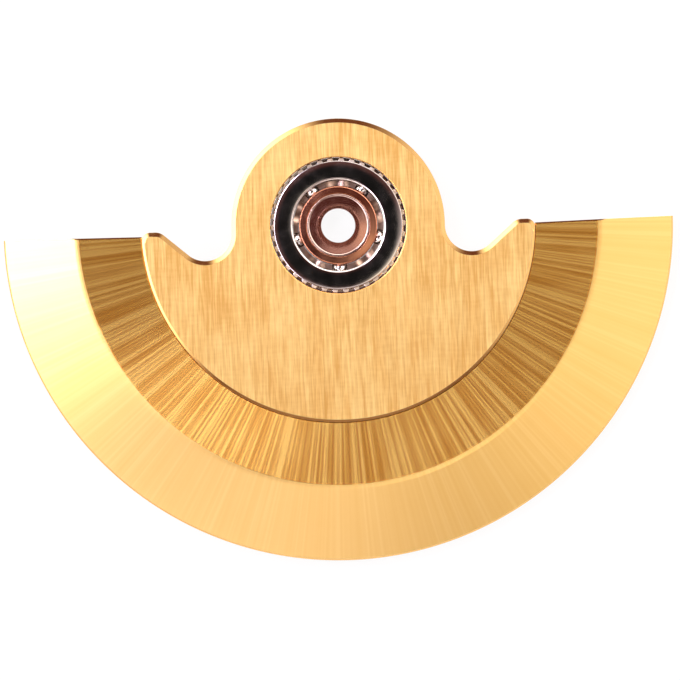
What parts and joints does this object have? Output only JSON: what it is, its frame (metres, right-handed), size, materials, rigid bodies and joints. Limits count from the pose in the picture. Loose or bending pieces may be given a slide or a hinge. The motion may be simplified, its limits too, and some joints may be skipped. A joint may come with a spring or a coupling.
{
  "type": "automatic watch rotor",
  "caption": "Half-disc oscillating weight with a rounded head and two hollows, turning on a toothed ball bearing with a countersunk screw bore.",
  "frame": {"origin": "on the bearing's axis, at the face of the core's foot that sits on the movement's bridge", "axes": "+Z along the bearing's axis, away from the movement, towards the brushed side; the weight lies towards -Y and the two wings point along +X and -X"},
  "size_m": [0.0252, 0.0166, 0.0016],
  "materials": {
    "plate_gilt": "straight brushed gilt with a polished bevel",
    "segment_gilt": "gilt, brushed in rays from the axis",
    "rivet_brass": "turned and faced flush",
    "ring_steel": "hardened and mirror polished",
    "core_steel": "turned, with a copper brown tint",
    "cage_bronze": "satin bronze",
    "ball_steel": "mirror polished"
  },
  "bodies": {
    "bearing_inner": {"bearing_core": "core_steel", "bearing_cone": "core_steel"},
    "rotor": {"rotor_plate": "plate_gilt", "weight_segment": "segment_gilt", "segment_rivets": "rivet_brass", "bearing_outer_ring": "ring_steel"},
    "cage": {"ball_cage": "cage_bronze"},
    "rolling_ball_1": {"ball_1": "ball_steel"},
    "rolling_ball_2": {"ball_2": "ball_steel"},
    "rolling_ball_3": {"ball_3": "ball_steel"},
    "rolling_ball_4": {"ball_4": "ball_steel"},
    "rolling_ball_5": {"ball_5": "ball_steel"}
  },
  "joints": [
    {"name": "rotor_spin", "type": "hinge", "parent": "bearing_inner", "child": "rotor", "pos_m": [0, 0, 0], "axis": [0, 0, 1], "continuous": true},
    {"name": "cage_orbit", "type": "hinge", "parent": "bearing_inner", "child": "cage", "pos_m": [0, 0, 0], "axis": [0, 0, 1], "continuous": true},
    {"name": "ball_roll_1", "type": "hinge", "parent": "cage", "child": "rolling_ball_1", "pos_m": [0, -0.0016, 0.0006], "axis": [0, 0, 1], "continuous": true},
    {"name": "ball_roll_2", "type": "hinge", "parent": "cage", "child": "rolling_ball_2", "pos_m": [0.00152, -0.00049, 0.0006], "axis": [0, 0, 1], "continuous": true},
    {"name": "ball_roll_3", "type": "hinge", "parent": "cage", "child": "rolling_ball_3", "pos_m": [0.00094, 0.00129, 0.0006], "axis": [0, 0, 1], "continuous": true},
    {"name": "ball_roll_4", "type": "hinge", "parent": "cage", "child": "rolling_ball_4", "pos_m": [-0.00094, 0.00129, 0.0006], "axis": [0, 0, 1], "continuous": true},
    {"name": "ball_roll_5", "type": "hinge", "parent": "cage", "child": "rolling_ball_5", "pos_m": [-0.00152, -0.00049, 0.0006], "axis": [0, 0, 1], "continuous": true}
  ],
  "couplings": [
    {"joint": "cage_orbit", "follows": "rotor_spin", "ratio": 0.5665},
    {"joint": "ball_roll_1", "follows": "rotor_spin", "ratio": 3.693},
    {"joint": "ball_roll_2", "follows": "rotor_spin", "ratio": 3.693},
    {"joint": "ball_roll_3", "follows": "rotor_spin", "ratio": 3.693},
    {"joint": "ball_roll_4", "follows": "rotor_spin", "ratio": 3.693},
    {"joint": "ball_roll_5", "follows": "rotor_spin", "ratio": 3.693}
  ]
}
